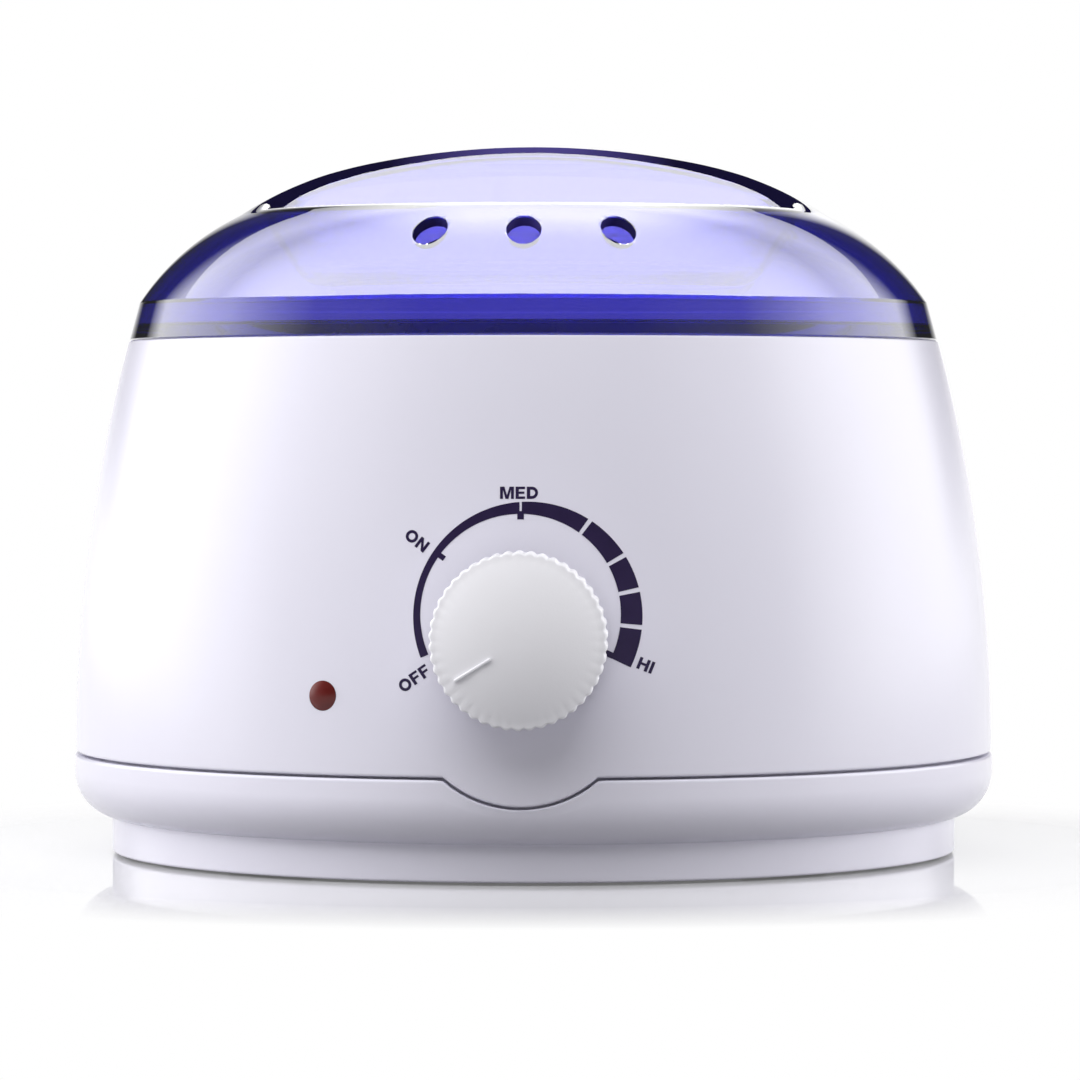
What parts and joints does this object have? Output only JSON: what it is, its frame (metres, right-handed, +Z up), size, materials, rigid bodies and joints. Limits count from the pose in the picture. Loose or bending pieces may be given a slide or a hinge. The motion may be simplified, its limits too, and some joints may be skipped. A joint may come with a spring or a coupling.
{
  "type": "wax warmer pot",
  "caption": "Round countertop wax warmer: white shell on a bumper base, front heat knob with indicator lamp, lift-out metal pot with a wire bail, clear violet vented lid.",
  "frame": {"origin": "on the axis of the round body, on the plane that the rubber feet stand on", "axes": "+Z up along the body's axis, -Y to the front where the knob is, +X to the right seen from the front"},
  "size_m": [0.18, 0.1958, 0.1384],
  "materials": {
    "shell_abs": "glossy moulded white",
    "knob_abs": "matte moulded white",
    "lid_tint": "clear moulded violet",
    "lens_red": "clear moulded red",
    "lamp_glass": "clear",
    "pot_aluminium": "spun satin",
    "well_aluminium": "pressed satin",
    "bail_steel": "polished wire",
    "zinc_steel": "zinc plated",
    "heater_mica": "pressed mica",
    "shaft_brass": "turned",
    "fuse_case": "drawn can",
    "thermostat_case": "moulded phenolic",
    "gland_black": "moulded nylon",
    "block_nylon": "moulded nylon",
    "sleeve_white": "woven glass sleeve",
    "lead_brown": "silicone insulated",
    "lead_blue": "silicone insulated",
    "lead_white": "silicone insulated",
    "foot_rubber": "matte moulded grey",
    "gasket_silicone": "die cut"
  },
  "bodies": {
    "housing": {"outer_shell": "shell_abs", "base_tray": "shell_abs", "rubber_foot_front_left": "foot_rubber", "rubber_foot_front_right": "foot_rubber", "rubber_foot_rear_left": "foot_rubber", "rubber_foot_rear_right": "foot_rubber", "base_screws": "zinc_steel", "heater_well": "well_aluminium", "well_gasket": "gasket_silicone", "well_screws": "zinc_steel", "heater_disc": "heater_mica", "heater_pressure_plate": "zinc_steel", "heater_nut": "zinc_steel", "fuse_clip": "zinc_steel", "thermal_fuse": "fuse_case", "thermostat_body": "thermostat_case", "thermostat_bracket": "zinc_steel", "thermostat_screws": "zinc_steel", "indicator_lens": "lens_red", "lamp_sleeve": "sleeve_white", "indicator_lamp": "lamp_glass", "cord_gland": "gland_black", "gland_nut": "gland_black", "terminal_block": "block_nylon", "terminal_screws": "zinc_steel", "lead_live": "lead_brown", "lead_fuse": "lead_brown", "lead_switched": "lead_white", "lead_neutral": "lead_blue", "lamp_leads": "lead_white"},
    "knob": {"control_knob": "knob_abs", "thermostat_shaft": "shaft_brass", "knob_spring_clip": "zinc_steel"},
    "pot": {"wax_pot": "pot_aluminium", "pot_ear_left": "pot_aluminium", "pot_ear_right": "pot_aluminium"},
    "bail": {"pot_bail": "bail_steel"},
    "lid": {"lid": "lid_tint"}
  },
  "joints": [
    {"name": "knob_turn", "type": "hinge", "parent": "housing", "child": "knob", "pos_m": [0, -0.0908, 0.0452], "axis": [0, 1, 0], "range_deg": [0, 230]},
    {"name": "pot_lift", "type": "slide", "parent": "housing", "child": "pot", "axis": [0, 0, 1], "range_m": [0, 0.1]},
    {"name": "lid_lift", "type": "slide", "parent": "pot", "child": "lid", "axis": [0, 0, 1], "range_m": [0, 0.2]},
    {"name": "bail_swing", "type": "hinge", "parent": "pot", "child": "bail", "pos_m": [0, 0, 0.0987], "axis": [1, 0, 0], "range_deg": [0, 180]}
  ],
  "couplings": [
    {"joint": "bail_swing", "follows": "lid_lift", "rad_per_m": 15.7}
  ]
}
